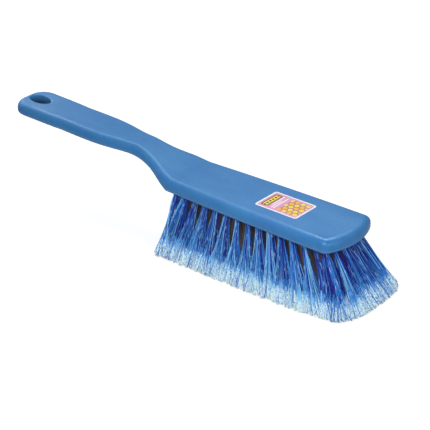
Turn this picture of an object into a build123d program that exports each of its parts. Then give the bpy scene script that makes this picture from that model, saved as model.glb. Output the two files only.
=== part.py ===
from build123d import *
import os

# Hand brush: a one-piece block and handle, tufts of folded filament, the flat-wire anchors that hold
# them, and a label. +X runs from the handle to the toe of the block, +Y across it, +Z up. The brush
# stands on its trimmed bristle tips at z = 0, and the origin is under the middle of the whole brush.
# A station is a distance measured back from the toe of the block.

# Block
MOULDING_LENGTH = 316.0
TRIM_LENGTH = 42.5
BLOCK_THICKNESS = 9.8
TOE_HALF_WIDTH = 27.1
MIDDLE_HALF_WIDTH = 26.2
MIDDLE_STATION = 75.0
HEEL_HALF_WIDTH = 23.3
SIDE_END_STATION = 151.0
HEEL_STATION = 153.9
TOE_BOW = 7.4
TOE_CORNER_RADIUS = 5.5

# Neck and grip: half-widths at their stations
NECK_OUTLINE = [(161.0, 21.4), (171.0, 17.4), (182.0, 14.2), (195.0, 12.9), (210.0, 14.7), (226.0, 17.0)]
GRIP_OUTLINE = [(262.0, 17.3)]
END_HALF_WIDTH = 18.1
END_CORNER_RADIUS = 14.0

# Gooseneck: heights of the grip over the flat top and the flat underside of the block
RAMP_STATION = 150.5
CREST_STATION = 190.6
CREST_RISE = 11.0
END_RISE = 14.4
GOOSENECK_RADIUS = 40.0
ARCH_STATION = 200.0
ARCH_RISE = 12.8
END_UNDER_RISE = 15.8

# Rounded edges
TOP_EDGE_RADIUS = 5.2
LOWER_EDGE_RADIUS = 1.6
HEEL_EDGE_RADIUS = 3.0

# Hanging hole through the end of the grip
HOLE_STATION = 300.5
HOLE_LENGTH = 19.2
HOLE_WIDTH = 11.6
HOLE_RIM_RADIUS = 1.2

# Label, flush in a shallow recess
LABEL_STATION = 61.6
LABEL_LENGTH = 36.4
LABEL_WIDTH = 25.2
LABEL_CORNER_RADIUS = 2.0
LABEL_THICKNESS = 0.2

# Tufts: columns along the block, rows across it
COLUMNS = 15
ROWS = 5
HEEL_COLUMN_STATION = 146.4
TOE_COLUMN_STATION = 14.5
ROW_REACH = 18.0

# Spread of the trimmed tips: they stand out past the toe and both sides
TIP_FLARE_TOE = 20.0
TIP_HEEL_STATION = 147.0
TIP_HALF_WIDTH = 43.0
TIP_BOW = 7.0
TIP_CORNER_PULL = 4.5
TIP_SIDE_PULL = 8.5
CORNER_POWER = 6

# Strands of a tuft: a small grid that spreads from root to tip
STRANDS_ALONG = 2
STRANDS_ACROSS = 3
ROOT_SPACING = 1.55
ROOT_THICKNESS = 1.25
TIP_THICKNESS = 3.5
STRAND_ROOT_DEPTH = 0.5

# Slices of the underside that carry the tufts, let into a pocket of the moulding
SLICE_THICKNESS = 2.0
POCKET_INSET = 2.4
POCKET_HEEL_STATION = 150.4

# Blind hole of a tuft, and the flat-wire anchor across it
TUFT_HOLE_RADIUS = 2.1
TUFT_HOLE_DEPTH = 7.0
ANCHOR_LENGTH = 5.0
ANCHOR_THICKNESS = 0.5
ANCHOR_WIDTH = 1.6
ANCHOR_DEPTH = 5.2

OVERALL_LENGTH = MOULDING_LENGTH + TIP_FLARE_TOE
TOE_X = OVERALL_LENGTH / 2 - TIP_FLARE_TOE
UNDERSIDE = TRIM_LENGTH
TOP = UNDERSIDE + BLOCK_THICKNESS
COLUMN_PITCH = (HEEL_COLUMN_STATION - TOE_COLUMN_STATION) / (COLUMNS - 1)
LAST_ALONG = COLUMNS * STRANDS_ALONG - 1
LAST_ACROSS = ROWS * STRANDS_ACROSS - 1
PAST = 10.0


def at(station):
    """X of a station."""
    return TOE_X - station


# Block and handle


def side_arc(inset, heel_station, side):
    """One long side of the block, from the toe to the heel."""
    return ThreePointArc(
        (at(TOE_BOW), side * (TOE_HALF_WIDTH - inset)),
        (at(MIDDLE_STATION), side * (MIDDLE_HALF_WIDTH - inset)),
        (at(heel_station), side * (HEEL_HALF_WIDTH - inset)),
    )


def toe_arc(inset):
    """The bowed toe, from one side of the block to the other."""
    return ThreePointArc(
        (at(TOE_BOW), TOE_HALF_WIDTH - inset),
        (at(inset), 0),
        (at(TOE_BOW), inset - TOE_HALF_WIDTH),
    )


def round_toe(outline, radius):
    """Round the two corners of an outline at the toe."""
    return fillet(outline.vertices().sort_by(Axis.X)[-2:], radius)


def handle_side(side):
    """One side of the moulding from the toe to the rounded end of the grip."""
    block_side = side_arc(0, SIDE_END_STATION, side)
    corner = (at(MOULDING_LENGTH - END_CORNER_RADIUS), side * END_HALF_WIDTH)
    middle = [(at(station), side * half_width) for station, half_width in NECK_OUTLINE + GRIP_OUTLINE]
    waist = Spline([block_side @ 1, *middle, corner], tangents=[block_side % 1, (-1, 0)])
    end_corner = JernArc(corner, (-1, 0), END_CORNER_RADIUS, side * 90)
    return [block_side, waist, end_corner]


def moulding_plan():
    """Outline of the block and handle from above."""
    left = handle_side(1)
    right = handle_side(-1)
    end = Line(left[-1] @ 1, right[-1] @ 1)
    return round_toe(make_face([toe_arc(0), *left, end, *right]), TOE_CORNER_RADIUS)


def moulding_profile():
    """Outline of the block and handle from the side, running past both ends."""
    front = at(-PAST)
    back = at(MOULDING_LENGTH + PAST)
    upper = FilletPolyline(
        (front, TOP),
        (at(RAMP_STATION), TOP),
        (at(CREST_STATION), TOP + CREST_RISE),
        (back, TOP + END_RISE),
        radius=GOOSENECK_RADIUS,
    )
    grip_under = Line((back, UNDERSIDE + END_UNDER_RISE), (at(ARCH_STATION), UNDERSIDE + ARCH_RISE))
    arch = TangentArc(grip_under @ 1, (at(HEEL_STATION), UNDERSIDE), tangent=grip_under % 1)
    lower = Polyline(arch @ 1, (front, UNDERSIDE), (front, TOP))
    close = Line((back, TOP + END_RISE), (back, UNDERSIDE + END_UNDER_RISE))
    return make_face([upper, close, grip_under, arch, lower])


def rim(faces):
    """Edges that border a group of faces."""
    edges = [edge for face in faces for edge in face.edges()]
    return [edge for edge in edges if edges.count(edge) == 1]


def moulding_body():
    """Block and handle with their rounded edges, before any hole."""
    plan = extrude(moulding_plan(), TOP + END_RISE + PAST)
    profile = extrude(Plane.XZ * moulding_profile(), TOE_HALF_WIDTH + PAST, both=True)
    body = plan & profile
    under = body.faces().sort_by(Axis.Z)[0]
    body = fillet(under.edges().sort_by(Axis.X)[0], HEEL_EDGE_RADIUS)
    lower_faces = body.faces().filter_by(lambda face: face.normal_at().Z < -0.5)
    body = fillet(rim(lower_faces), LOWER_EDGE_RADIUS)
    upper_faces = body.faces().filter_by(lambda face: face.normal_at().Z > 0.5)
    return fillet(rim(upper_faces), TOP_EDGE_RADIUS)


def hanging_hole(body):
    """Cut the oval hole through the grip and round its rims."""
    oval = Ellipse(HOLE_LENGTH / 2, HOLE_WIDTH / 2)
    cutter = Pos(at(HOLE_STATION), 0, UNDERSIDE) * extrude(oval, TOP)
    body = body - cutter
    rims = body.edges().filter_by(lambda edge: edge.is_closed)
    return fillet(rims, HOLE_RIM_RADIUS)


def pocket():
    """The space in the underside that the slices fill."""
    heel = at(POCKET_HEEL_STATION)
    left = side_arc(POCKET_INSET, POCKET_HEEL_STATION, 1)
    right = side_arc(POCKET_INSET, POCKET_HEEL_STATION, -1)
    outline = make_face([toe_arc(POCKET_INSET), left, Line(left @ 1, right @ 1), right])
    outline = round_toe(outline, TOE_CORNER_RADIUS - POCKET_INSET)
    return Pos(0, 0, UNDERSIDE) * extrude(outline, SLICE_THICKNESS)


# Label


def label():
    """The label, which fills its recess in the top of the block."""
    outline = RectangleRounded(LABEL_LENGTH, LABEL_WIDTH, LABEL_CORNER_RADIUS)
    return Pos(at(LABEL_STATION), 0, TOP) * extrude(outline, -LABEL_THICKNESS)


# Tufts


def tuft_root(column, row):
    """Middle of a tuft hole on the underside."""
    across = 2 * row / (ROWS - 1) - 1
    return Vector(at(HEEL_COLUMN_STATION - column * COLUMN_PITCH), across * ROW_REACH, UNDERSIDE)


def tip_point(column, row, place_along, place_across):
    """Middle of a strand tip. The tips fill a bowed and rounded outline evenly."""
    along = (column * STRANDS_ALONG + place_along) / LAST_ALONG
    across = 2 * (row * STRANDS_ACROSS + place_across) / LAST_ACROSS - 1
    heel_x = at(TIP_HEEL_STATION) + TIP_THICKNESS / 2
    toe_x = at(-TIP_FLARE_TOE) - TIP_THICKNESS / 2
    toe_x = toe_x - TIP_BOW * across**2 - TIP_CORNER_PULL * across**CORNER_POWER
    reach = TIP_HALF_WIDTH - TIP_THICKNESS / 2 - TIP_SIDE_PULL * along**CORNER_POWER
    return Vector(heel_x + (toe_x - heel_x) * along, across * reach, 0)


def tuft_axis(column, row):
    """Plane on the root of a tuft, whose normal runs up into the block along the tuft's lean."""
    root = tuft_root(column, row)
    middle_along = (STRANDS_ALONG - 1) / 2
    middle_across = (STRANDS_ACROSS - 1) / 2
    tip = tip_point(column, row, middle_along, middle_across)
    return Plane(origin=root, x_dir=(0, 1, 0), z_dir=root - tip)


def strand(column, row, place_along, place_across):
    """One strand: a four-sided taper from inside the slice to a flat tip on the ground."""
    root = tuft_root(column, row) + Vector(
        (place_along - (STRANDS_ALONG - 1) / 2) * ROOT_SPACING,
        (place_across - (STRANDS_ACROSS - 1) / 2) * ROOT_SPACING,
        STRAND_ROOT_DEPTH,
    )
    tip = tip_point(column, row, place_along, place_across)
    sections = [
        Location(root) * Rectangle(ROOT_THICKNESS, ROOT_THICKNESS),
        Location(tip) * Rectangle(TIP_THICKNESS, TIP_THICKNESS),
    ]
    return loft(sections, ruled=True)


def tuft_root_plug(column, row):
    """The doubled root of a tuft, which fills its blind hole."""
    depth = TUFT_HOLE_DEPTH - SLICE_THICKNESS
    centre = SLICE_THICKNESS + depth / 2
    return tuft_axis(column, row) * Pos(0, 0, centre) * Cylinder(TUFT_HOLE_RADIUS, depth)


def anchor(column, row):
    """Flat wire that lies in the fold of a tuft, with both ends in the block."""
    wire = Box(ANCHOR_LENGTH, ANCHOR_THICKNESS, ANCHOR_WIDTH)
    return tuft_axis(column, row) * Pos(0, 0, ANCHOR_DEPTH) * wire


def slice_of_underside(column):
    """The part of the underside that carries one column of tufts."""
    heel_end = at(HEEL_COLUMN_STATION - (column - 0.5) * COLUMN_PITCH)
    toe_end = heel_end + COLUMN_PITCH
    if column == 0:
        heel_end = at(HEEL_STATION)
    if column == COLUMNS - 1:
        toe_end = at(0)
    middle = ((heel_end + toe_end) / 2, 0, UNDERSIDE + SLICE_THICKNESS / 2)
    return pocket() & Location(middle) * Box(toe_end - heel_end, 2 * TOE_HALF_WIDTH, SLICE_THICKNESS)


def tuft_column(column):
    """One column of tufts on its slice, with room for the anchors."""
    strands = [
        strand(column, row, place_along, place_across)
        for row in range(ROWS)
        for place_along in range(STRANDS_ALONG)
        for place_across in range(STRANDS_ACROSS)
    ]
    plugs = [tuft_root_plug(column, row) for row in range(ROWS)]
    anchors = [anchor(column, row) for row in range(ROWS)]
    return slice_of_underside(column).fuse(*strands, *plugs).cut(*anchors)


# Nodes


def block_and_handle():
    """The moulding with its hanging hole, label recess, pocket, tuft holes and anchor slots."""
    tufts = [(column, row) for column in range(COLUMNS) for row in range(ROWS)]
    holes = [tuft_root_plug(*place) for place in tufts]
    slots = [anchor(*place) for place in tufts]
    return hanging_hole(moulding_body()).cut(label(), pocket(), *holes, *slots)


def write(name, shape):
    """Save one node."""
    export_step(shape, f"parts/{name}.step")


os.makedirs("parts", exist_ok=True)
write("block_and_handle", block_and_handle())
write("label", label())
for column in range(COLUMNS):
    write(f"tufts_{column + 1:02d}", tuft_column(column))
    write(f"anchors_{column + 1:02d}", Compound([anchor(column, row).solid() for row in range(ROWS)]))
print("strands", COLUMNS * ROWS * STRANDS_ALONG * STRANDS_ACROSS)
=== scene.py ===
import math
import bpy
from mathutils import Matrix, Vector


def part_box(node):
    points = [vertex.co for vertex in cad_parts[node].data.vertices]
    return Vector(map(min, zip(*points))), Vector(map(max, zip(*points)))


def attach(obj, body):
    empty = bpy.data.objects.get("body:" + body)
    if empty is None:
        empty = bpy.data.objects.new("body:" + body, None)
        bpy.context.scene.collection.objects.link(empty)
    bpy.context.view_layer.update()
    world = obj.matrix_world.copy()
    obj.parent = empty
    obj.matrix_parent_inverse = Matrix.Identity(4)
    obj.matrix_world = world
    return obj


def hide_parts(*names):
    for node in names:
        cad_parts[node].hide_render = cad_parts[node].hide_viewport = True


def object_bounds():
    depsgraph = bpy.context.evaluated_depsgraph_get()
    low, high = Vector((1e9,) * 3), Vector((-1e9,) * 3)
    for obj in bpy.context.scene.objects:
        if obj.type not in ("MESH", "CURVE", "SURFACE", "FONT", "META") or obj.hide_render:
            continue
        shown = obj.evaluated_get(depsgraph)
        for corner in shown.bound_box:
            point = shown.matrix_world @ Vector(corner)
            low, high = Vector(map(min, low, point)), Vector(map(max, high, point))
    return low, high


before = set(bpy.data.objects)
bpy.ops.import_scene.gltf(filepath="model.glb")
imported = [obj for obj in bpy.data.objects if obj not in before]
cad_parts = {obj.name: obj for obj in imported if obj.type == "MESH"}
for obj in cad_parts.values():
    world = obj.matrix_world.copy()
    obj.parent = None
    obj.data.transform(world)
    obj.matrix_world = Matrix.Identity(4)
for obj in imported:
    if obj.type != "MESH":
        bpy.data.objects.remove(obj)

from types import SimpleNamespace

import bmesh
import bpy
import numpy as np
from bpy.props import FloatProperty, FloatVectorProperty, IntProperty, PointerProperty
from mathutils import Euler, Vector

bl_info = {
    "name": "Hand Brush",
    "version": (1, 0, 0),
    "blender": (4, 5, 0),
    "location": "3D View > Sidebar > Hand Brush",
    "description": "Plants, prints and finishes a moulded hand brush on its packed frame",
    "category": "Object",
}

MILLIMETRE = 0.001
MOULDING_LOW, MOULDING_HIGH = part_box("block_and_handle")
LABEL_LOW, LABEL_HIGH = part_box("label")
TUFT_NODES = sorted(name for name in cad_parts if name.startswith("tufts_"))
ANCHOR_NODES = sorted(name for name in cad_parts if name.startswith("anchors_"))
CAD_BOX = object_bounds()

UNDERSIDE = MOULDING_LOW.z
TOE = MOULDING_HIGH.x
FLOOR_DROP = 0.2 * MILLIMETRE
# Steps of the two-number sequence that spreads points evenly over a square
EVEN_STEPS = (0.7548776662, 0.5698402910)


def screen_colour(red, green, blue):
    """The linear colour of 0 to 255 screen values."""
    levels = [value / 255 for value in (red, green, blue)]
    return tuple(v / 12.92 if v <= 0.04045 else ((v + 0.055) / 1.055) ** 2.4 for v in levels)


def length(name, description, millimetres):
    """A length property that is given in millimetres and held in metres."""
    return FloatProperty(
        name=name, description=description, default=millimetres * MILLIMETRE, unit="LENGTH",
        precision=4,
    )


def share(name, description, default):
    """A property between 0 and 1."""
    return FloatProperty(
        name=name, description=description, default=default, min=0, max=1, subtype="FACTOR"
    )


def positive(name, description, default):
    """A property that is 0 or more."""
    return FloatProperty(name=name, description=description, default=default, min=0)


def whole_number(name, description, default, least=0):
    """A property that counts something."""
    return IntProperty(name=name, description=description, default=default, min=least)


def group_of(kind, name, description):
    """A property that holds a group of others."""
    return PointerProperty(type=kind, name=name, description=description)


def lamp_power(name, description, watts):
    """The power of a lamp."""
    return FloatProperty(name=name, description=description, default=watts, unit="POWER")


def angle(name, description, degrees):
    """An angle property that is given in degrees."""
    return FloatProperty(
        name=name, description=description, default=math.radians(degrees), subtype="ANGLE"
    )


def colour(name, description, red, green, blue):
    """A colour property that is given in screen values."""
    return FloatVectorProperty(
        name=name, description=description, default=screen_colour(red, green, blue),
        subtype="COLOR", size=3, min=0, max=1,
    )


# Sizes and colours


class BlockSizes(bpy.types.PropertyGroup):
    middle_station: length("Middle", "Distance from the toe to the middle of the block", 75)
    middle_half_width: length(
        "Half width at middle", "Half the width of the block at its middle", 26.2)
    toe_half_width: length(
        "Half width at toe", "Half the width of the block at its toe corners", 27.1)
    heel_half_width: length("Half width at heel", "Half the width of the block at its heel", 23.3)
    toe_bow: length("Toe bow", "How far the toe stands out in its middle", 7.4)
    pocket_inset: length("Bed inset", "Width of the rim round the tuft bed", 2.4)
    pocket_heel: length("Bed end", "Distance from the toe to the heel end of the tuft bed", 150.4)
    pocket_corner: length("Bed corner", "Radius of the toe corners of the tuft bed", 3.1)
    bed_thickness: length("Bed thickness", "Thickness of the tuft bed", 2)


class TuftSizes(bpy.types.PropertyGroup):
    rows: whole_number("Rows", "Rows of tufts across the block", 5, 2)
    heel_column: length("Heel column", "Distance from the toe to the tufts at the heel", 146.4)
    toe_column: length("Toe column", "Distance from the toe to the tufts at the toe", 14.5)
    row_reach: length("Row reach", "Distance from the middle to the outer rows", 18)
    hole_radius: length("Hole radius", "Radius of a tuft hole", 2.1)
    root_radius: length("Root radius", "Radius of the packed filaments inside the hole", 1.6)
    root_depth: length("Root depth", "How deep the filaments start inside the hole", 3.5)
    splay_along: positive("Splay along", "Spread of a tuft's tips, in column pitches", 1.5)
    splay_across: positive("Splay across", "Spread of a tuft's tips, in row pitches", 1.16)
    locks: share("Locks", "How far filaments gather into locks", 0.2)
    clumps: share("Clumps", "How far filaments gather into the finer clumps of a lock", 0.25)


class TipOutline(bpy.types.PropertyGroup):
    flare: length("Toe flare", "How far the tips stand out past the toe", 20)
    heel: length("Heel end", "Distance from the toe of the block to the tips at the heel", 148.2)
    half_width: length("Half width", "Half the width of the trimmed tips", 43)
    bow: length("Bow", "How far the tips at the toe stand out in the middle", 0.5)
    corner_pull: length("Corner pull", "How far the toe corners draw back", 9)
    side_pull: length("Side pull", "How far the sides draw in at the toe", 7)
    fullness: share("Fullness", "How much the edge of the tips is filled up", 0.13)


class FilamentSizes(bpy.types.PropertyGroup):
    ends: whole_number("Filaments", "Filament ends in one tuft", 78, 1)
    radius: length("Radius", "Radius of a filament", 0.31)
    bend: length("Bend", "How far a filament bows off its straight line", 0.55)
    gather: share("Gather", "How far a tuft stays gathered below its hole", 0.25)
    trim: length("Trim", "Unevenness of the trimmed tips", 1.3)
    flags: whole_number("Flags", "Fine hairs that a filament splits into", 3)
    flag_radius: length("Flag radius", "Radius of a fine hair at its start", 0.27)
    flag_spread: length("Flag spread", "How far the fine hairs part at the tip", 1)
    flag_start: share("Flag start", "Share of the length at which a filament splits", 0.7)
    seed: whole_number("Seed", "Start of the random numbers", 11)


class BrushColours(bpy.types.PropertyGroup):
    moulding: colour("Moulding", "Block and handle", 61, 128, 185)
    moulding_deep: colour("Moulding, deep", "Darker flow marks in the moulding", 50, 113, 176)
    # Painted shade in the hanging hole
    moulding_grime: colour("Moulding, grime", "Grime in the hanging hole", 20, 34, 58)
    deep_filament: colour("Deep filament", "Darkest filaments", 28, 36, 146)
    middle_filament: colour("Middle filament", "Most of the filaments", 56, 136, 224)
    bright_filament: colour("Bright filament", "Brightest filaments", 136, 212, 255)
    glint: colour("Glint", "Stretches that catch the light", 172, 226, 255)
    # Painted shade for the filaments between the inner tufts
    inner_filament: colour("Inner filament", "Filaments between the inner tufts", 112, 102, 96)
    shaded_tip: colour("Shaded tip", "Darkest of the split ends", 54, 126, 202)
    pale_tip: colour("Pale tip", "Split ends of the filaments", 228, 251, 255)
    label_ground: colour("Label ground", "Ground of the printed label", 222, 158, 190)
    label_yellow: colour("Label yellow", "Yellow print", 240, 214, 72)
    label_orange: colour("Label orange", "Orange print", 250, 176, 48)
    label_line: colour("Label line", "Dark print", 66, 48, 26)
    label_white: colour("Label white", "White print and border", 246, 242, 246)
    wire: colour("Wire", "Anchor wire", 198, 198, 194)
    floor: colour("Floor", "Studio floor", 196, 196, 198)


class StudioSizes(bpy.types.PropertyGroup):
    camera_target: FloatVectorProperty(
        name="Target", description="Point that the camera looks at", size=3,
        default=(0.05819, -0.04366, 0.05261), subtype="XYZ", unit="LENGTH")
    camera_distance: length("Camera distance", "Distance from the camera to its target", 1248.35)
    camera_azimuth: angle("Azimuth", "Turn of the camera from the near side towards the toe", 39.57)
    camera_elevation: angle("Elevation", "Height of the camera over the horizon", 27.5)
    lens: FloatProperty(
        name="Lens", description="Focal length on a 36 mm sensor, in millimetres",
        default=150.875, min=1)
    key_power: lamp_power("Key", "Power of the overhead light", 4.4)
    fill_power: lamp_power("Near light", "Power of the light over the near side", 0.96)
    toe_power: lamp_power("Toe light", "Power of the light on the toe", 0.58)
    low_power: lamp_power(
        "Low light", "Power of the low light beyond the near side of the grip", 2.9)
    corner_power: lamp_power("Corner light", "Power of the highlight on the near toe corner", 0.46)
    world_level: positive("Surround", "Level of the even light all round", 0.32)
    backdrop_glow: positive("Backdrop", "Glow of the floor for the camera alone", 0.62)


class HandBrushSettings(bpy.types.PropertyGroup):
    block: group_of(BlockSizes, "Block", "Sizes of the block")
    tufts: group_of(TuftSizes, "Tufts", "Layout of the tufts")
    tips: group_of(TipOutline, "Tips", "Outline of the trimmed tips")
    filaments: group_of(FilamentSizes, "Filaments", "Sizes of the filaments")
    colours: group_of(BrushColours, "Colours", "Colours of the brush")
    studio: group_of(StudioSizes, "Studio", "Camera and lights")


# Node trees


class Value:
    """An output socket. Arithmetic on it adds Math or Vector Math nodes."""

    def __init__(self, graph, socket):
        self.graph = graph
        self.socket = socket

    def __add__(self, other):
        return self.graph.maths("ADD", self, other)

    def __radd__(self, other):
        return self.graph.maths("ADD", other, self)

    def __sub__(self, other):
        return self.graph.maths("SUBTRACT", self, other)

    def __rsub__(self, other):
        return self.graph.maths("SUBTRACT", other, self)

    def __mul__(self, other):
        return self.graph.maths("MULTIPLY", self, other)

    def __rmul__(self, other):
        return self.graph.maths("MULTIPLY", other, self)

    def __truediv__(self, other):
        return self.graph.maths("DIVIDE", self, other)

    def __pow__(self, other):
        return self.graph.maths("POWER", self, other)

    def __lt__(self, other):
        return self.graph.maths("LESS_THAN", self, other)

    def __gt__(self, other):
        return self.graph.maths("GREATER_THAN", self, other)

    def __abs__(self):
        return self.graph.maths("ABSOLUTE", self)


class Graph:
    """A node tree that is being built."""

    def __init__(self, tree):
        self.tree = tree

    def node(self, kind, inputs=None, **settings):
        """Adds a node, with its settings set before the values or links of its sockets."""
        node = self.tree.nodes.new(kind)
        for name, value in settings.items():
            setattr(node, name, value)
        for key, value in (inputs or {}).items():
            socket = node.inputs[key] if isinstance(key, int) else open_socket(node.inputs, key)
            if isinstance(value, Value):
                self.tree.links.new(value.socket, socket)
            else:
                socket.default_value = value
        return node

    def value(self, kind, inputs=None, output=None, **settings):
        """Adds a node and returns one of its outputs, the first one in use unless it is named."""
        node = self.node(kind, inputs, **settings)
        return Value(self, open_socket(node.outputs, output))

    def maths(self, operation, *operands):
        """A Math node, or a Vector Math node where an operand is a vector."""
        vectors = [is_vector(operand) for operand in operands]
        inputs = dict(enumerate(operands))
        if not any(vectors):
            return self.value("ShaderNodeMath", inputs, operation=operation)
        if operation == "MULTIPLY" and not all(vectors):
            vector, scale = operands if vectors[0] else operands[::-1]
            operation, inputs = "SCALE", {0: vector, "Scale": scale}
        return self.value("ShaderNodeVectorMath", inputs, operation=operation)

    def smooth(self, value, low, high):
        """0 below low, 1 above high and a smooth step between them."""
        inputs = {"Value": value, "From Min": low, "From Max": high, "To Min": 0.0, "To Max": 1.0}
        return self.value("ShaderNodeMapRange", inputs, interpolation_type="SMOOTHSTEP")

    def mix_colour(self, factor, first, second, blend="MIX"):
        """A mix of two colours."""
        colours = {"A": with_alpha(first), "B": with_alpha(second), "Factor": factor}
        return self.value("ShaderNodeMix", colours, data_type="RGBA", blend_type=blend)

    def parts(self, vector):
        """The X, Y and Z of a vector."""
        node = self.node("ShaderNodeSeparateXYZ", {0: vector})
        return [Value(self, output) for output in node.outputs]

    def vector(self, x, y, z):
        """A vector of three numbers."""
        return self.value("ShaderNodeCombineXYZ", {"X": x, "Y": y, "Z": z})

    def place(self):
        """The point being shaded, in metres on the frame."""
        return self.value("ShaderNodeTexCoord", None, "Object")

    def noise(self, vector, grain, detail=2.0, roughness=0.5):
        """Noise whose features are about one grain wide."""
        inputs = {"Vector": vector, "Scale": 1 / grain, "Detail": detail, "Roughness": roughness}
        return self.value("ShaderNodeTexNoise", inputs, "Fac")

    def bump(self, height, depth, strength, under=None):
        """A normal that follows a height of 0 to 1, which is depth deep, over another normal."""
        inputs = {"Height": height, "Distance": depth, "Strength": strength}
        if under is not None:
            inputs["Normal"] = under
        return self.value("ShaderNodeBump", inputs)


def open_socket(sockets, name=None):
    """The first socket in use, of that name if one is given."""
    return next(s for s in sockets if s.enabled and (name is None or s.name == name))


def is_vector(operand):
    """Whether an operand is a vector."""
    if isinstance(operand, Value):
        return operand.socket.type in ("VECTOR", "RGBA")
    return not isinstance(operand, (int, float))


def with_alpha(level):
    """A colour with its alpha, if it is a plain one."""
    return level if isinstance(level, Value) else (*level, 1)


def surface(name, build, **constants):
    """A material whose Principled shader takes the constants and what build returns."""
    material = bpy.data.materials.new(name)
    material.use_nodes = True
    material.node_tree.nodes.clear()
    graph = Graph(material.node_tree)
    inputs = {key.replace("_", " "): value for key, value in constants.items()}
    inputs.update(build(graph))
    shader = graph.value("ShaderNodeBsdfPrincipled", inputs)
    graph.node("ShaderNodeOutputMaterial", {"Surface": shader})
    return material


# Block and handle

# Underside of the grip over the flat underside of the block: where the arch and the straight part
# meet, its rise there, the slope behind, the curve of the arch, and the height of the parting line
ARCH_X, ARCH_RISE, GRIP_SLOPE, ARCH_CURVE, PARTING_LIFT = -0.052, 0.0128, 0.0238, 5.507, 0.0021
# Hanging hole: distance from the toe, length and width
HOLE_STATION, HOLE_LENGTH, HOLE_WIDTH = 0.3005, 0.0192, 0.0116
# Size of the marks in the plastic
FLOW_GRAIN, CLOUD_GRAIN, MOTTLE_GRAIN, PEEL_GRAIN, FINE_GRAIN = 0.011, 0.034, 0.002, 0.0028, 0.00035
SCUFF_WIDTH, SCUFF_PATCH = 0.0006, 0.02
# Depth of the relief in the plastic
FINE_DEPTH, PEEL_DEPTH, LINE_DEPTH = 0.00003, 0.00006, 0.0001
# Where the parting line and the lip under it fade out, as heights over the line
LINE_EDGE, LIP_EDGE = (0.00006, 0.00022), (-0.0002, 0.0001)
# Where the painted shade in the hanging hole starts and ends, below the top
HOLE_SHADE_LOW, HOLE_SHADE_HIGH = 0.0065, 0.0006
# Where the gloss changes, as distances from the toe, and at the corners also from the middle
GRIP_END, BLOCK_START = (0.304, 0.28), (0.152, 0.115)
CORNER_START, CORNER_SIDE = (0.045, 0.008), (0.006, 0.026)


def moulded_plastic(colours):
    """Satin moulded plastic with flow marks, fine grain, light scuffs and a parting line."""

    def build(graph):
        place = graph.place()
        x, y, z = graph.parts(place)

        def ahead_of(start, end):
            """0 behind the start and 1 ahead of the end, which are distances from the toe."""
            return graph.smooth(x, TOE - start, TOE - end)

        flow = graph.noise(place * (0.35, 1.0, 1.0), FLOW_GRAIN, 3.0, 0.55)
        cloud = graph.noise(place, CLOUD_GRAIN)
        mottle = graph.noise(place, MOTTLE_GRAIN, 3.0, 0.7)
        grain = graph.noise(place, FINE_GRAIN, 2.0, 0.6)
        orange_peel = graph.noise(place, PEEL_GRAIN)
        scuff_lines = graph.noise(place * (0.06, 1.0, 1.0), SCUFF_WIDTH)
        scuff_patches = graph.noise(place, SCUFF_PATCH)
        scuff = graph.smooth(scuff_lines, 0.66, 0.74) * graph.smooth(scuff_patches, 0.52, 0.66)
        # Parting line, which keeps its distance over the underside of the block, arch and grip
        behind = ARCH_X - x
        ahead = graph.maths("MAXIMUM", x - ARCH_X, 0.0)
        arched = ARCH_RISE + behind * GRIP_SLOPE - ahead * ahead * ARCH_CURVE
        rise = graph.maths("MAXIMUM", arched, 0.0)
        over_line = z - (rise + (UNDERSIDE + PARTING_LIFT))
        line = 1 - graph.smooth(abs(over_line), *LINE_EDGE)
        lip = 1 - graph.smooth(over_line, *LIP_EDGE)
        paleness = graph.smooth(flow * 0.6 + cloud * 0.4, 0.32, 0.68) * 0.6 + (mottle - 0.36) * 1.5
        shade = graph.mix_colour(paleness, colours.moulding_deep, colours.moulding)
        pale = graph.mix_colour(0.5, colours.moulding, (1.0, 1.0, 1.0))
        shade = graph.mix_colour(scuff * 0.16 + line * 0.12 + lip * 0.05, shade, pale)
        # Painted shade in the hanging hole, darker deeper down
        hole_x = (x - (TOE - HOLE_STATION)) / (HOLE_LENGTH / 2)
        hole_y = y / (HOLE_WIDTH / 2)
        in_hole = 1 - graph.smooth(hole_x * hole_x + hole_y * hole_y, 1.02, 1.3)
        top = MOULDING_HIGH.z
        hole_shade = in_hole * (1 - graph.smooth(z, top - HOLE_SHADE_LOW, top - HOLE_SHADE_HIGH))
        shade = graph.mix_colour(hole_shade * 0.9, shade, colours.moulding_grime)
        # The end of the grip is dulled by use, and the block is more matt than the handle
        dulled = 1 - ahead_of(*GRIP_END)
        matt = ahead_of(*BLOCK_START)
        # The toe corners come smoother out of the mould
        corner = ahead_of(*CORNER_START) * graph.smooth(abs(y), *CORNER_SIDE)
        roughness = 0.3 + orange_peel * 0.07 + grain * 0.05 + scuff * 0.1 + dulled * 0.24
        roughness = roughness + matt * 0.13 - corner * 0.24
        fine = graph.bump(grain, FINE_DEPTH, 0.35)
        wavy = graph.bump(orange_peel, PEEL_DEPTH, 0.35, fine)
        ridge = graph.bump(line * 0.6 - lip * 0.5, LINE_DEPTH, 0.8, wavy)
        return {"Base Color": shade, "Roughness": roughness, "Normal": ridge}

    return surface(
        "satin_moulded_plastic", build,
        Specular_IOR_Level=0.5, Specular_Tint=(0.55, 0.84, 1.0, 1.0))


def dress(node, material):
    """Puts a material on a node of the frame."""
    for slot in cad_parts[node].material_slots:
        slot.material = material


class HANDBRUSH_OT_finish_moulding(bpy.types.Operator):
    """Give the block and handle its moulded plastic"""

    bl_idname = "hand_brush.finish_moulding"
    bl_label = "Finish Moulding"

    def execute(self, context):
        dress("block_and_handle", moulded_plastic(context.scene.hand_brush.colours))
        return {"FINISHED"}


# Label

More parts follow.
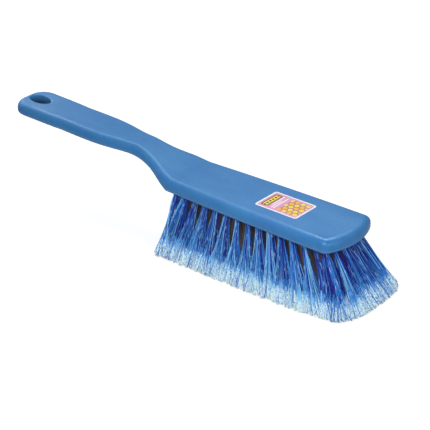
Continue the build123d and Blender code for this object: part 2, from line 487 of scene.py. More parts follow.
# Rounded shapes printed on the label: place from its middle, half length, half width and corner
COMB = (0.0075, 0.0, 0.0082, 0.0095, 0.001)
PLAQUE = (-0.0124, 0.0, 0.003, 0.0092, 0.0014)
BARS = (
    (-0.0042, 0.0, 0.00045, 0.0092, 0.0004),
    (-0.0061, -0.0028, 0.0004, 0.0064, 0.0004),
    (-0.0079, 0.0022, 0.0004, 0.007, 0.0004),
)
# Widths of the white border, of a comb cell and of the line round the plaque
BORDER, CELL_WIDTH, PLAQUE_LINE = 0.0012, 0.0046, 0.001
# Dots on the plaque: how far apart they stand, their radius and their distance from its edge
DOT_PITCH, DOT_RADIUS, DOT_MARGIN = 0.0032, 0.001, 0.0012
# Size of the marks in the print and the film, and depth of the film's fibres
INK_GRAIN, WEAR_GRAIN, FIBRE_GRAIN, FIBRE_DEPTH = 0.0032, 0.004, 0.0005, 0.00002


def printed_label(colours):
    """Printed film: white border, pink ground, a strip of comb cells, bars and dots."""
    centre = (LABEL_LOW + LABEL_HIGH) / 2
    half = (LABEL_HIGH - LABEL_LOW) / 2

    def build(graph):
        place = graph.place()
        x, y, _ = graph.parts(place - tuple(centre))

        def box_distance(at_x, at_y, half_x, half_y, corner):
            """Distance outside a rounded rectangle."""
            side_x = graph.maths("MAXIMUM", abs(x - at_x) - (half_x - corner), 0.0)
            side_y = graph.maths("MAXIMUM", abs(y - at_y) - (half_y - corner), 0.0)
            return graph.maths("SQRT", side_x * side_x + side_y * side_y) - corner

        def inside(distance, blur=0.00008):
            """1 inside a shape and 0 outside it."""
            return 1 - graph.smooth(distance, -blur, blur)

        def cells(size):
            """How far out of the nearest comb cell, 1 at its walls, and a number for the cell."""
            across, up = size, size * math.sqrt(3)
            nearest = None
            for shift in (0.0, 0.5):
                column = graph.maths("ROUND", x / across - shift) + shift
                row = graph.maths("ROUND", y / up - shift) + shift
                from_x = abs(x - column * across)
                from_y = abs(y - row * up)
                slanted = from_x * 0.5 + from_y * math.sqrt(0.75)
                wall = graph.maths("MAXIMUM", from_x, slanted) / (size / 2)
                mark = graph.maths("FLOORED_MODULO", column * 2 + row * 6, 5.0)
                if nearest is None:
                    nearest = (wall, mark)
                else:
                    first = nearest[0] < wall
                    mark = first * nearest[1] + (1 - first) * mark
                    nearest = (graph.maths("MINIMUM", nearest[0], wall), mark)
            return nearest

        ground = box_distance(0.0, 0.0, half.x - BORDER, half.y - BORDER, BORDER)
        wall, mark = cells(CELL_WIDTH)
        comb_area = inside(box_distance(*COMB))
        cell = 1 - graph.smooth(wall, 0.76, 0.84)
        cell_edge = (1 - graph.smooth(wall, 0.92, 0.98)) - cell
        blotches = graph.noise(place, INK_GRAIN)
        pink = graph.mix_colour(blotches, colours.label_ground, (0.55, 0.26, 0.52))
        pink = graph.mix_colour(0.7, pink, colours.label_ground)
        cell_ink = graph.mix_colour(mark > 2.5, colours.label_yellow, colours.label_orange)
        plaque = box_distance(*PLAQUE)
        dot_x = x - PLAQUE[0]
        dot_y = abs(graph.maths("FLOORED_MODULO", y, DOT_PITCH) - DOT_PITCH / 2)
        dot = inside(graph.maths("SQRT", dot_y * dot_y + dot_x * dot_x) - DOT_RADIUS)
        fibre = graph.noise(place, FIBRE_GRAIN, 3.0, 0.6)
        wear = graph.smooth(graph.noise(place, WEAR_GRAIN, 3.0), 0.62, 0.72)
        # Each layer of print goes over those before it
        shown = pink
        for area, ink in (
            (comb_area * cell, cell_ink),
            (comb_area * cell_edge * 0.8, colours.label_line),
            *((inside(box_distance(*bar)), colours.label_white) for bar in BARS),
            (inside(plaque), colours.label_line),
            (inside(plaque + PLAQUE_LINE), colours.label_yellow),
            (dot * inside(plaque + DOT_MARGIN), colours.label_line),
            (1 - inside(ground), colours.label_white),
            (wear * 0.08, (1.0, 1.0, 1.0)),
        ):
            shown = graph.mix_colour(area, shown, ink)
        return {
            "Base Color": shown,
            "Roughness": 0.34 + fibre * 0.12 + wear * 0.08,
            "Normal": graph.bump(fibre, FIBRE_DEPTH, 0.3),
        }

    return surface("printed_label_film", build, Specular_IOR_Level=0.5)


class HANDBRUSH_OT_print_label(bpy.types.Operator):
    """Print the label on the block"""

    bl_idname = "hand_brush.print_label"
    bl_label = "Print Label"

    def execute(self, context):
        dress("label", printed_label(context.scene.hand_brush.colours))
        return {"FINISHED"}


# Anchors

# Width and depth of the lines along the wire, and size of its stains
DRAWN_WIDTH, DRAWN_DEPTH, STAIN_GRAIN = 0.00012, 0.00001, 0.0015


def drawn_wire(colours):
    """Flat drawn steel wire with lines along it."""

    def build(graph):
        place = graph.place()
        lines = graph.noise(place * (1.0, 0.05, 1.0), DRAWN_WIDTH)
        stain = graph.noise(place, STAIN_GRAIN)
        shade = graph.mix_colour(stain * 0.4, colours.wire, (0.36, 0.35, 0.33))
        return {
            "Base Color": shade,
            "Roughness": 0.28 + lines * 0.16,
            "Normal": graph.bump(lines, DRAWN_DEPTH, 0.4),
        }

    return surface("drawn_anchor_wire", build, Metallic=1.0)


class HANDBRUSH_OT_finish_anchors(bpy.types.Operator):
    """Give the anchors their drawn wire"""

    bl_idname = "hand_brush.finish_anchors"
    bl_label = "Finish Anchors"

    def execute(self, context):
        wire = drawn_wire(context.scene.hand_brush.colours)
        for node in ANCHOR_NODES:
            dress(node, wire)
        return {"FINISHED"}


# Tuft bed


def tuft_root(tufts, column, row):
    """Middle of a tuft hole on the underside of the block."""
    step = (tufts.heel_column - tufts.toe_column) / (len(TUFT_NODES) - 1)
    across = 2 * row / (tufts.rows - 1) - 1
    return Vector((TOE - tufts.heel_column + column * step, across * tufts.row_reach, UNDERSIDE))


def tip_place(tips, along, across):
    """Point of the trimmed tips, from 0 at the heel to 1 at the toe and from -1 to 1 across."""
    heel = TOE - tips.heel
    toe = TOE + tips.flare - tips.bow * across**2 - tips.corner_pull * across**4
    half_width = tips.half_width - tips.side_pull * along**6
    return Vector((heel + (toe - heel) * along, across * half_width, 0))


def tuft_lean(settings, column, row):
    """Direction from the middle of a tuft's tips up to its root."""
    along = (column + 0.5) / len(TUFT_NODES)
    across = 2 * (row + 0.5) / settings.tufts.rows - 1
    root = tuft_root(settings.tufts, column, row)
    return (root - tip_place(settings.tips, along, across)).normalized()


def swept(centre, radius, first, last, count):
    """Points on an arc round a centre, between two directions from it."""
    turn = first.angle_signed(last)
    base = math.atan2(first.y, first.x)
    angles = [base - turn * i / count for i in range(count + 1)]
    return [centre + radius * Vector((math.cos(a), math.sin(a))) for a in angles]


def arc_points(start, middle, end, count=24):
    """Points on the arc through three points."""
    (ax, ay), (bx, by), (cx, cy) = start, middle, end
    d = 2 * (ax * (by - cy) + bx * (cy - ay) + cx * (ay - by))
    a, b, c = ax * ax + ay * ay, bx * bx + by * by, cx * cx + cy * cy
    centre = Vector(((a * (by - cy) + b * (cy - ay) + c * (ay - by)) / d,
                     (a * (cx - bx) + b * (ax - cx) + c * (bx - ax)) / d))
    first, last = Vector(start) - centre, Vector(end) - centre
    return swept(centre, first.length, first, last, count)


def rounded(before, corner, after, radius, count=6):
    """Points that round a corner between two straight neighbours."""
    to_before, to_after = (before - corner).normalized(), (after - corner).normalized()
    half_angle = to_before.angle(to_after) / 2
    centre = corner + (to_before + to_after).normalized() * (radius / math.sin(half_angle))
    reach = radius / math.tan(half_angle)
    first, last = corner + to_before * reach - centre, corner + to_after * reach - centre
    return swept(centre, radius, first, last, count)


def bed_outline(block):
    """Outline of the tuft bed from the near heel corner round the toe."""
    inset = block.pocket_inset

    def side_point(distance, half_width, side):
        return (TOE - distance, side * (half_width - inset))

    near, far = (
        arc_points(
            side_point(block.toe_bow, block.toe_half_width, side),
            side_point(block.middle_station, block.middle_half_width, side),
            side_point(block.pocket_heel, block.heel_half_width, side))
        for side in (-1, 1)
    )
    toe = arc_points(tuple(near[0]), (TOE - inset, 0.0), tuple(far[0]))
    outline = near[:0:-1]
    outline += rounded(near[1], near[0], toe[1], block.pocket_corner)
    outline += toe[2:-2]
    outline += rounded(toe[-2], far[0], far[1], block.pocket_corner)
    outline += far[1:]
    return outline


def loop_of(bed, points, height):
    """Adds a closed loop of edges to the bed."""
    corners = [bed.verts.new((*point, height)) for point in points]
    edges = [bed.edges.new((corners[i - 1], corners[i])) for i in range(len(corners))]
    return corners, edges


def circle_points(centre, radius, count=20):
    """Points round a hole."""
    turns = [2 * math.pi * i / count for i in range(count)]
    return [(centre.x + radius * math.cos(a), centre.y + radius * math.sin(a)) for a in turns]


def tuft_bed_mesh(settings):
    """The plate between the rim and the tufts, with a leaning hole for each tuft."""
    block, tufts = settings.block, settings.tufts
    bed = bmesh.new()
    rings = {}
    for rise in (0.0, block.bed_thickness):
        height = UNDERSIDE + rise
        loops = [loop_of(bed, [tuple(p) for p in bed_outline(block)], height)]
        for column in range(len(TUFT_NODES)):
            for row in range(tufts.rows):
                lean = tuft_lean(settings, column, row)
                centre = tuft_root(tufts, column, row) + lean * (rise / lean.z)
                loops.append(loop_of(bed, circle_points(centre, tufts.hole_radius), height))
        edges = [edge for _, ring in loops for edge in ring]
        bmesh.ops.triangle_fill(bed, edges=edges, use_beauty=True)
        rings[rise] = loops
    for (low, _), (high, _) in zip(*rings.values()):
        for i in range(len(low)):
            bed.faces.new((low[i - 1], low[i], high[i], high[i - 1]))
    bmesh.ops.recalc_face_normals(bed, faces=bed.faces[:])
    mesh = bpy.data.meshes.new("tuft_bed")
    bed.to_mesh(mesh)
    bed.free()
    return mesh


def add_piece(name, mesh, material):
    """Puts a finished mesh in the scene as a piece of the brush."""
    piece = bpy.data.objects.new(name, mesh)
    bpy.context.scene.collection.objects.link(piece)
    piece.data.materials.clear()
    piece.data.materials.append(material)
    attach(piece, "root")
    return piece


class HANDBRUSH_OT_build_tuft_bed(bpy.types.Operator):
    """Build the underside plate with its tuft holes"""

    bl_idname = "hand_brush.build_tuft_bed"
    bl_label = "Build Tuft Bed"

    def execute(self, context):
        mesh = tuft_bed_mesh(context.scene.hand_brush)
        add_piece("tuft_bed", mesh, bpy.data.materials["satin_moulded_plastic"])
        return {"FINISHED"}


# Filaments

# Painted glints and painted shade speckles along a filament, and how many fewer glints at the toe
GLINTS, FEWER_AT_TOE, SPECKS = 8, 3, 42
# Keeps the noise of each filament apart from that of the others
NOISE_SPREAD = 500


def brush_filament(colours):
    """Glossy filament, deep to bright blue, with pale split ends."""

    def build(graph):
        def attribute(name):
            return graph.value("ShaderNodeAttribute", None, "Fac", attribute_name=name)

        names = ("along", "lot", "lock", "side", "inner", "heel", "toe", "ply")
        along, lot, lock, side, inner, heel, toe, ply = (attribute(name) for name in names)
        # Three colours of filament are mixed at random in a tuft, and as painted shade the deep
        # ones lie mostly on its side towards the toe, its side towards the heel painted lighter
        tone = ply * (0.46 - toe * 0.1) + lot * 0.22 + lock * 0.08 + (1 - side) * (0.2 - toe * 0.1)
        # Painted shade and light along them: darker near the roots under the block, brighter
        # towards their ends
        tone = tone + (along - 0.37) * 0.22
        # Painted light: the outer filaments at the heel are painted the brightest, as if lit from
        # the heel end
        painted_heel_light = heel * (1 - graph.smooth(side, 0.1, 0.5))
        tone = tone + painted_heel_light * 0.22
        body = graph.mix_colour(
            graph.smooth(tone, 0.4, 0.46), colours.deep_filament, colours.middle_filament)
        body = graph.mix_colour(graph.smooth(tone, 0.59, 0.66), body, colours.bright_filament)
        # Painted glints: pale stretches painted along the filaments, where light would catch them
        strand = ply * NOISE_SPREAD
        painted_glints = graph.vector(strand, along * GLINTS - toe * along * FEWER_AT_TOE, 0.0)
        painted_glints = graph.smooth(graph.noise(painted_glints, 1.0, 1.0), 0.6, 0.66)
        body = graph.mix_colour(painted_glints * 0.65, body, colours.glint)
        # Painted shade: between the inner tufts the filaments are painted dark down to their pale
        # ends
        dark = inner * (1 - graph.smooth(along, 0.55, 0.8))
        body = graph.mix_colour(dark * 0.96, body, colours.inner_filament)
        # The ends are pale, and each filament turns pale at its own place
        turn = 0.64 + ply * 0.18 + lot * 0.06 + lock * 0.04 - painted_heel_light * 0.08
        fade = graph.smooth(along - turn, 0.0, 0.03)
        # Painted shade between the hairs: some split ends take the shaded tip colour, the rest stay
        # pale
        whiteness = graph.smooth(ply * 0.8 + lot * 0.2 - toe * 0.04, 0.2, 0.28)
        pale = graph.mix_colour(whiteness, colours.shaded_tip, colours.pale_tip)
        # Painted shade: dark speckles along the split ends, a little more at the toe
        shade_specks = graph.noise(graph.vector(strand, along * SPECKS, 3.0), 1.0, 1.0)
        shade_specks = graph.smooth(shade_specks, 0.55, 0.6) * 0.8 + toe * 0.1
        pale = graph.mix_colour(shade_specks, pale, colours.shaded_tip)
        # Painted shade: the cut ends are painted a little grey where they meet the floor
        end_shade = graph.smooth(along, 0.975, 0.995)
        pale = graph.mix_colour(end_shade, pale, (0.84, 0.8, 0.72), "MULTIPLY")
        shade = graph.mix_colour(fade, body, pale)
        # Painted light: a faint glow of the filaments that stands in for light coming through them
        glow = graph.mix_colour(fade, body * 0.45, pale)
        return {"Base Color": shade, "Roughness": 0.3 + fade * 0.3, "Emission Color": glow}

    return surface("flagged_filament", build, Specular_IOR_Level=0.3, Emission_Strength=0.15)


# Settings that the planting nodes take as they are
PLANTING = {
    "tufts": ("root_radius", "splay_along", "splay_across", "locks", "clumps"),
    "tips": ("bow", "corner_pull", "half_width", "side_pull", "fullness"),
    "filaments": (
        "radius", "bend", "gather", "trim", "flags", "flag_radius", "flag_spread", "flag_start"),
}
# How far a tip strays and a tuft leans, and how far the square spread of its tips is rounded
STRAY, SWAY, ROUNDING = 0.06, 0.22, 0.7
# Steps in the length of a whole filament and of a fine hair, and how much they thin out
WHOLE_STEPS, WHOLE_THINNING, FINE_STEPS, FINE_THINNING = 5, 0.35, 3, 0.3
# Fine hairs are numbered from here, above the whole filaments
FIRST_FINE_STRAND = 100000.0


def filament_tree(material):
    """Geometry nodes that plant flagged filaments on the points of a column of tufts."""
    tree = bpy.data.node_groups.new("plant_filaments", "GeometryNodeTree")
    names = ["roots", "ends", "seed", "columns", "rows", "heel", "toe"]
    names += [name for group_names in PLANTING.values() for name in group_names]
    kinds = {"roots": "Geometry", "ends": "Int", "seed": "Int", "flags": "Int"}
    for name in names:
        kind = kinds.get(name, "Float")
        tree.interface.new_socket(name, in_out="INPUT", socket_type=f"NodeSocket{kind}")
    tree.interface.new_socket("Geometry", in_out="OUTPUT", socket_type="NodeSocketGeometry")
    graph = Graph(tree)
    source = graph.node("NodeGroupInput")
    given = SimpleNamespace(**{s.name: Value(graph, s) for s in source.outputs if s.name})

    def stored(geometry, vectors, numbers):
        """The geometry with attributes stored on its points."""
        for kind, values in (("FLOAT_VECTOR", vectors), ("FLOAT", numbers)):
            for name, value in values.items():
                geometry = graph.value(
                    "GeometryNodeStoreNamedAttribute",
                    {"Geometry": geometry, "Name": name, "Value": value}, data_type=kind)
        return geometry

    def read(name, kind="FLOAT"):
        """An attribute that is stored on the points."""
        return graph.value(
            "GeometryNodeInputNamedAttribute", {"Name": name}, "Attribute", data_type=kind)

    def chance(low, high, number, salt, kind="FLOAT"):
        """A random value for a number, with a salt that keeps each use apart."""
        seed = given.seed + salt
        return graph.value(
            "FunctionNodeRandomValue", {"Min": low, "Max": high, "ID": number, "Seed": seed},
            data_type=kind)

    def copies(geometry, count):
        """The node that gives every point a count of copies."""
        return graph.node(
            "GeometryNodeDuplicateElements", {"Geometry": geometry, "Amount": count},
            domain="POINT")

    def rounded_to_disc(s, t):
        """A point of a square, moved to the disc inside it."""
        return (s * graph.maths("SQRT", 1 - t * t * 0.5), t * graph.maths("SQRT", 1 - s * s * 0.5))

    # One point for each filament, spread evenly over its tuft
    column, row = read("column"), read("row")
    tuft = column * given.rows + row
    doubled = copies(given.roots, given.ends)
    points = Value(graph, doubled.outputs["Geometry"])
    number = Value(graph, doubled.outputs["Duplicate Index"])
    index = graph.value("GeometryNodeInputIndex")
    share_s = graph.maths("FRACT", number * EVEN_STEPS[0] + chance(0.0, 1.0, tuft, 1))
    share_t = graph.maths("FRACT", number * EVEN_STEPS[1] + chance(0.0, 1.0, tuft, 2))
    s, t = share_s * 2 - 1, share_t * 2 - 1
    disc = graph.vector(*rounded_to_disc(s, t), 0.0)
    root = graph.value("GeometryNodeInputPosition") + disc * given.root_radius

    def bundle(count_s, count_t, salt):
        """The number of the bundle that a filament belongs to, and the middle of its tips."""
        cell_s = graph.maths("FLOOR", share_s * count_s)
        cell_t = graph.maths("FLOOR", share_t * count_t)
        number = cell_s * count_t + cell_t + tuft * (count_s * count_t)
        middle_s = (cell_s + chance(0.2, 0.8, number, salt)) * (2 / count_s) - 1
        middle_t = (cell_t + chance(0.2, 0.8, number, salt + 1)) * (2 / count_t) - 1
        return number, middle_s, middle_t

    # Locks, and the finer clumps in them, draw the tips of their filaments together
    lock_number, lock_s, lock_t = bundle(3, 4, 3)
    clump_number, clump_s, clump_t = bundle(6, 6, 14)
    tip_s = s + (lock_s - s) * given.locks + (clump_s - s) * given.clumps
    tip_t = t + (lock_t - t) * given.locks + (clump_t - t) * given.clumps
    # Each tuft leans a little its own way and is gathered more or less
    tip_s = tip_s + chance(-STRAY, STRAY, index, 5) + chance(-SWAY, SWAY, tuft, 20)
    tip_t = tip_t + chance(-STRAY, STRAY, index, 6)
    gather = given.gather * chance(0.2, 1.8, tuft, 21)
    round_s, round_t = rounded_to_disc(tip_s, tip_t)
    tip_s = tip_s + (round_s - tip_s) * ROUNDING
    tip_t = tip_t + (round_t - tip_t) * ROUNDING
    along = (column + 0.5 + tip_s * 0.5 * given.splay_along) / given.columns
    across = (row + 0.5 + tip_t * 0.5 * given.splay_across) * 2 / given.rows - 1
    # Tips that reach past the outline are folded back inside it, which keeps its edge full
    along = graph.maths("PINGPONG", (along - 0.5) * (1 + given.fullness) + 0.5, 1.0)
    across = graph.maths("PINGPONG", across * (1 + given.fullness) + 1, 2.0) - 1
    toe = given.toe - across * across * given.bow - across**4 * given.corner_pull
    tip_x = given.heel + (toe - given.heel) * along
    tip_y = across * (given.half_width - along**6 * given.side_pull)
    # 1 in the tufts that have others all round them
    inner = (row > 0.5) * (row < given.rows - 1.5)
    inner = inner * (column > 0.5) * (column < given.columns - 1.5)
    tip_z = chance(0.0, 1.0, index, 7) ** 2.0 * given.trim
    bend = chance((-1.0, -1.0, 0.0), (1.0, 1.0, 0.0), index, 8, "FLOAT_VECTOR") * given.bend
    spread = graph.vector(
        tip_s * given.splay_along * (given.toe - given.heel) / given.columns * 0.5,
        tip_t * given.splay_across * given.half_width / given.rows, 0.0)
    # The tufts at the heel open at once and those along the toe are less gathered, which closes
    # the brush. Those at the near toe corner are gathered more.
    to_toe = column - given.columns
    past_near_row = graph.smooth(row, 0.4, 1.6)
    at_heel = 1 - graph.smooth(column, 0.3, 1.7)
    at_toe = graph.smooth(to_toe, -2.8, -1.4) * past_near_row
    at_corner = graph.smooth(to_toe, -3.2, -1.6) * (1 - past_near_row)
    gather = gather * (1 - graph.maths("MAXIMUM", at_heel, at_toe)) + at_corner * 0.4
    bend = bend - spread * (gather - at_heel * 0.3 - at_toe * 0.15)
    points = stored(
        points,
        {"root": root, "tip": graph.vector(tip_x, tip_y, tip_z), "bend": bend},
        {
            "lot": chance(0.0, 0.4, clump_number, 9) + chance(0.0, 0.6, index, 16),
            "lock": chance(0.0, 1.0, lock_number, 10),
            "side": share_s,
            "inner": inner,
            "heel": at_heel,
            "toe": graph.smooth(to_toe, -3.2, -1.2),
            "ply": chance(0.0, 1.0, index, 17),
            "strand": index + 0.0,
            "start": index * 0.0,
        })

    def hairs(points, steps, radius, thinning):
        """Three-sided hairs from the stored start to the tip of each point's line."""
        line = graph.value("GeometryNodeCurvePrimitiveLine", {"Start": (0, 0, 0), "End": (0, 0, 1)})
        line = graph.value("GeometryNodeResampleCurve", {"Curve": line, "Count": steps})
        line = graph.value("GeometryNodeInstanceOnPoints", {"Points": points, "Instance": line})
        line = graph.value("GeometryNodeRealizeInstances", {"Geometry": line})
        run = graph.value("GeometryNodeSplineParameter", None, "Factor")
        begin = read("start")
        line = stored(line, {}, {"along": begin + (1 - begin) * run})
        reach = read("along")
        chord = read("root", "FLOAT_VECTOR") * (1 - reach) + read("tip", "FLOAT_VECTOR") * reach
        bow = read("bend", "FLOAT_VECTOR") * (reach * (1 - reach) * 4)
        part = read("part", "FLOAT_VECTOR") * run
        line = graph.value(
            "GeometryNodeSetPosition", {"Geometry": line, "Position": chord + bow + part})
        profile = graph.value("GeometryNodeCurvePrimitiveCircle", {"Resolution": 3, "Radius": 1.0})
        turn = graph.value("GeometryNodeSplineParameter", None, "Factor")
        profile = stored(profile, {}, {"around": turn})
        scale = radius * (1 - run * thinning)
        return graph.value(
            "GeometryNodeCurveToMesh",
            {"Curve": line, "Profile Curve": profile, "Scale": scale, "Fill Caps": True})

    unparted = stored(points, {"part": graph.vector(0.0, 0.0, 0.0)}, {})
    whole = hairs(unparted, WHOLE_STEPS, given.radius, WHOLE_THINNING)
    # Split ends: fine hairs that leave the filament and part towards the tip
    parting = chance((-1.0, -1.0, 0.0), (1.0, 1.0, 0.6), index, 11, "FLOAT_VECTOR")
    ends = stored(
        Value(graph, copies(points, given.flags).outputs["Geometry"]),
        {"part": parting * given.flag_spread},
        {
            "start": given.flag_start + chance(-0.05, 0.06, index, 12),
            "strand": index + FIRST_FINE_STRAND,
            "lot": read("lot") * 0.9 + chance(0.0, 0.1, index, 13),
            "ply": chance(0.0, 1.0, index, 19),
        })
    fine = hairs(ends, FINE_STEPS, given.flag_radius, FINE_THINNING)
    joined = graph.node("GeometryNodeJoinGeometry")
    for part in (fine, whole):
        tree.links.new(part.socket, joined.inputs[0])
    planted = Value(graph, joined.outputs[0])
    for name in ("root", "tip", "bend", "part", "start"):
        planted = graph.value("GeometryNodeRemoveAttribute", {"Geometry": planted, "Name": name})
    planted = graph.value("GeometryNodeSetShadeSmooth", {"Geometry": planted})
    planted = graph.value("GeometryNodeRealizeInstances", {"Geometry": planted})
    planted = graph.value("GeometryNodeSetMaterial", {"Geometry": planted, "Material": material})
    graph.node("NodeGroupOutput", {"Geometry": planted})
    return tree


def column_roots(settings, column):
    """A mesh with one point inside each tuft hole of a column."""
    tufts = settings.tufts
    mesh = bpy.data.meshes.new(f"column_{column}")
    places = []
    for row in range(tufts.rows):
        lean = tuft_lean(settings, column, row)
        places.append(tuft_root(tufts, column, row) + lean * (tufts.root_depth / lean.z))
    mesh.from_pydata(places, [], [])
    for name, values in (("column", [column] * tufts.rows), ("row", range(tufts.rows))):
        attribute = mesh.attributes.new(name, "FLOAT", "POINT")
        attribute.data.foreach_set("value", [float(value) for value in values])
    return mesh


def read_all(items, name, kind=np.float32, size=1):
    """One setting of all items of a collection, as an array."""
    values = np.empty(len(items) * size, kind)
    items.foreach_get(name, values)
    return values


# UV map of the filaments: cells in a row, and how far a corner of an end cap is drawn into its cell
CELLS_PER_ROW, CAP_REACH = 128, 0.03
# Where a strand starts in its cell and how far it reaches, across the cell and along it
START_ACROSS, REACH_ACROSS, START_ALONG, REACH_ALONG = 0.15, 1.05, 0.06, 0.88


def lay_out_strands(mesh):
    """Gives each strand its own narrow cell of a UV map, which runs from its root to its tip."""
    corner_points = read_all(mesh.loops, "vertex_index", np.int32)
    starts = read_all(mesh.polygons, "loop_start", np.int32)
    totals = read_all(mesh.polygons, "loop_total", np.int32)
    strand, along, around = (
        read_all(mesh.attributes[name].data, "value")[corner_points]
        for name in ("strand", "along", "around")
    )
    _, cell = np.unique(strand, return_inverse=True)
    rows = cell.max() // CELLS_PER_ROW + 1
    # An end cap is flat along its strand, so one corner is drawn into the cell to give it a width
    for cap in starts[totals == 3]:
        along[cap] += CAP_REACH if along[cap] < 0.5 else -CAP_REACH
    u = (cell % CELLS_PER_ROW + START_ACROSS + REACH_ACROSS * around) / CELLS_PER_ROW
    v = (cell // CELLS_PER_ROW + START_ALONG + REACH_ALONG * along) / rows
    layer = mesh.uv_layers.new(name="OFBake")
    layer.data.foreach_set("uv", np.stack([u, v], 1).astype(np.float32).ravel())


class HANDBRUSH_OT_plant_filaments(bpy.types.Operator):
    """Plant the filaments of every tuft"""

    bl_idname = "hand_brush.plant_filaments"
    bl_label = "Plant Filaments"

    def execute(self, context):
        settings = context.scene.hand_brush
        tufts, tips, sizes = settings.tufts, settings.tips, settings.filaments
        material = brush_filament(settings.colours)
        tree = filament_tree(material)
        sockets = {i.name: i.identifier for i in tree.interface.items_tree if i.in_out == "INPUT"}
        values = {
            "ends": sizes.ends, "columns": float(len(TUFT_NODES)), "rows": float(tufts.rows),
            "heel": TOE - tips.heel, "toe": TOE + tips.flare,
        }
        for group_name, names in PLANTING.items():
            values.update({name: getattr(getattr(settings, group_name), name) for name in names})
        for column, node in enumerate(TUFT_NODES):
            planter = bpy.data.objects.new("planter", column_roots(settings, column))
            context.scene.collection.objects.link(planter)
            modifier = planter.modifiers.new("plant", "NODES")
            modifier.node_group = tree
            for name, value in values.items():
                modifier[sockets[name]] = value
            modifier[sockets["seed"]] = sizes.seed + 100 * column
            grown = planter.evaluated_get(context.evaluated_depsgraph_get())
            mesh = bpy.data.meshes.new_from_object(grown)
            bpy.data.objects.remove(planter)
            keep_inside(mesh)
            lay_out_strands(mesh)
            piece = add_piece(node.replace("tufts", "filaments"), mesh, material)
            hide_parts(node)
        return {"FINISHED"}


def keep_inside(mesh):
    """Holds every point inside the box of the frame."""
    places = read_all(mesh.vertices, "co", size=3).reshape(-1, 3)
    np.clip(places, np.array(CAD_BOX[0]), np.array(CAD_BOX[1]), out=places)
    mesh.vertices.foreach_set("co", places.ravel())
    mesh.update()


# Studio

# Half the side of the floor, and the camera's sensor in millimetres and clipping distances
FLOOR_REACH, SENSOR_WIDTH, CLIP_START, CLIP_END = 4.0, 36, 0.05, 20
# Lamps: target, azimuth and elevation in degrees, distance, width, height and setting of the power
LAMPS = {
    "overhead_softbox": ((-0.06, 0, 0.05), -142, 63, 1.1, 0.65, 0.5, "key_power"),
    "near_softbox": ((0.13, 0, 0.03), 8, 42, 0.4, 0.34, 0.24, "fill_power"),
    "toe_softbox": ((0.14, 0, 0.03), 78, 24, 0.5, 0.3, 0.24, "toe_power"),
    "low_lamp": ((-0.04, -0.02, 0.05), -113, 26, 0.9, 0.32, 0.26, "low_power"),
    "corner_lamp": ((0.139, -0.022, 0.052), -156, 61, 0.3, 0.18, 0.13, "corner_power"),
}


def pale_floor(colours, glow):
    """A pale matt floor that also glows for the camera, so it shows white and keeps the shadow."""

    def build(graph):
        seen = graph.value("ShaderNodeLightPath", None, "Is Camera Ray")
        paint = graph.noise(graph.place(), 0.05)
        tint = graph.mix_colour(paint * 0.03, colours.floor, (0.8, 0.8, 0.8))
        return {"Base Color": tint, "Emission Strength": seen * glow}

    return surface(
        "studio_floor", build, Roughness=0.9, Specular_IOR_Level=0.1,
        Emission_Color=(1.0, 1.0, 1.0, 1.0))


def direction(azimuth, elevation):
    """Direction to a light or camera. Azimuth 0 is the near side and a quarter turn is the toe."""
    flat = math.cos(elevation)
    return Vector((math.sin(azimuth) * flat, -math.cos(azimuth) * flat, math.sin(elevation)))


def softbox(name, target, azimuth, elevation, distance, width, height, power):
    """A rectangular lamp that faces a target."""
    lamp = bpy.data.lights.new(name, "AREA")
    lamp.shape = "RECTANGLE"
    lamp.size, lamp.size_y = width, height
    lamp.energy = power
    holder = bpy.data.objects.new(name, lamp)
    towards = direction(math.radians(azimuth), math.radians(elevation))
    holder.location = Vector(target) + towards * distance
    holder.rotation_euler = towards.to_track_quat("Z", "Y").to_euler()
    bpy.context.scene.collection.objects.link(holder)


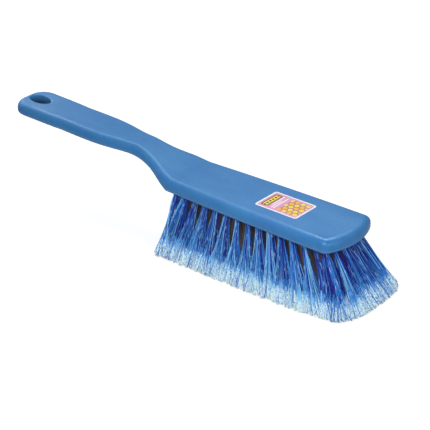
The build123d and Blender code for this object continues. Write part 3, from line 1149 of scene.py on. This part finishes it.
class HANDBRUSH_OT_set_stage(bpy.types.Operator):
    """Set up the floor, the lights and the camera"""

    bl_idname = "hand_brush.set_stage"
    bl_label = "Set Stage"

    def execute(self, context):
        scene = context.scene
        studio, colours = scene.hand_brush.studio, scene.hand_brush.colours
        mesh = bpy.data.meshes.new("floor")
        signs = ((-1, -1), (1, -1), (1, 1), (-1, 1))
        corners = [(x * FLOOR_REACH, y * FLOOR_REACH, -FLOOR_DROP) for x, y in signs]
        mesh.from_pydata(corners, [], [(0, 1, 2, 3)])
        mesh.materials.append(pale_floor(colours, studio.backdrop_glow))
        floor = bpy.data.objects.new("floor", mesh)
        scene.collection.objects.link(floor)

        for name, (*placing, setting) in LAMPS.items():
            softbox(name, *placing, getattr(studio, setting))
        # The corner lamp shows only as a highlight on what is glossy
        bpy.data.objects["corner_lamp"].visible_diffuse = False

        world = bpy.data.worlds.new("even_surround")
        world.use_nodes = True
        background = world.node_tree.nodes["Background"]
        background.inputs["Color"].default_value = (0.95, 0.975, 1, 1)
        background.inputs["Strength"].default_value = studio.world_level
        scene.world = world

        lens = bpy.data.cameras.new("camera")
        lens.lens = studio.lens
        lens.sensor_width = SENSOR_WIDTH
        lens.clip_start, lens.clip_end = CLIP_START, CLIP_END
        camera = bpy.data.objects.new("camera", lens)
        towards = direction(studio.camera_azimuth, studio.camera_elevation)
        camera.location = Vector(studio.camera_target) + towards * studio.camera_distance
        tilt = math.pi / 2 - studio.camera_elevation
        camera.rotation_euler = Euler((tilt, 0, studio.camera_azimuth))
        scene.collection.objects.link(camera)
        scene.camera = camera
        scene.view_settings.view_transform = "Standard"
        return {"FINISHED"}


# Panel and registration

STEPS = (
    HANDBRUSH_OT_finish_moulding,
    HANDBRUSH_OT_print_label,
    HANDBRUSH_OT_finish_anchors,
    HANDBRUSH_OT_build_tuft_bed,
    HANDBRUSH_OT_plant_filaments,
    HANDBRUSH_OT_set_stage,
)


class HANDBRUSH_PT_build(bpy.types.Panel):
    """Steps and settings of the hand brush"""

    bl_idname = "HANDBRUSH_PT_build"
    bl_label = "Hand Brush"
    bl_space_type = "VIEW_3D"
    bl_region_type = "UI"
    bl_category = "Hand Brush"

    def draw(self, context):
        settings = context.scene.hand_brush
        for step in STEPS:
            self.layout.operator(step.bl_idname)
        for group_name in HandBrushSettings.__annotations__:
            group = getattr(settings, group_name)
            box = self.layout.box()
            box.label(text=group_name.title())
            for name in type(group).__annotations__:
                box.prop(group, name)


CLASSES = (
    BlockSizes, TuftSizes, TipOutline, FilamentSizes, BrushColours, StudioSizes, HandBrushSettings,
    *STEPS, HANDBRUSH_PT_build,
)


def register():
    for item in CLASSES:
        bpy.utils.register_class(item)
    bpy.types.Scene.hand_brush = PointerProperty(type=HandBrushSettings)


def unregister():
    del bpy.types.Scene.hand_brush
    for item in reversed(CLASSES):
        bpy.utils.unregister_class(item)


def main():
    """Builds every piece and the stage."""
    register()
    for step in STEPS:
        group, name = step.bl_idname.split(".")
        getattr(getattr(bpy.ops, group), name)()


if __name__ == "__main__":
    main()
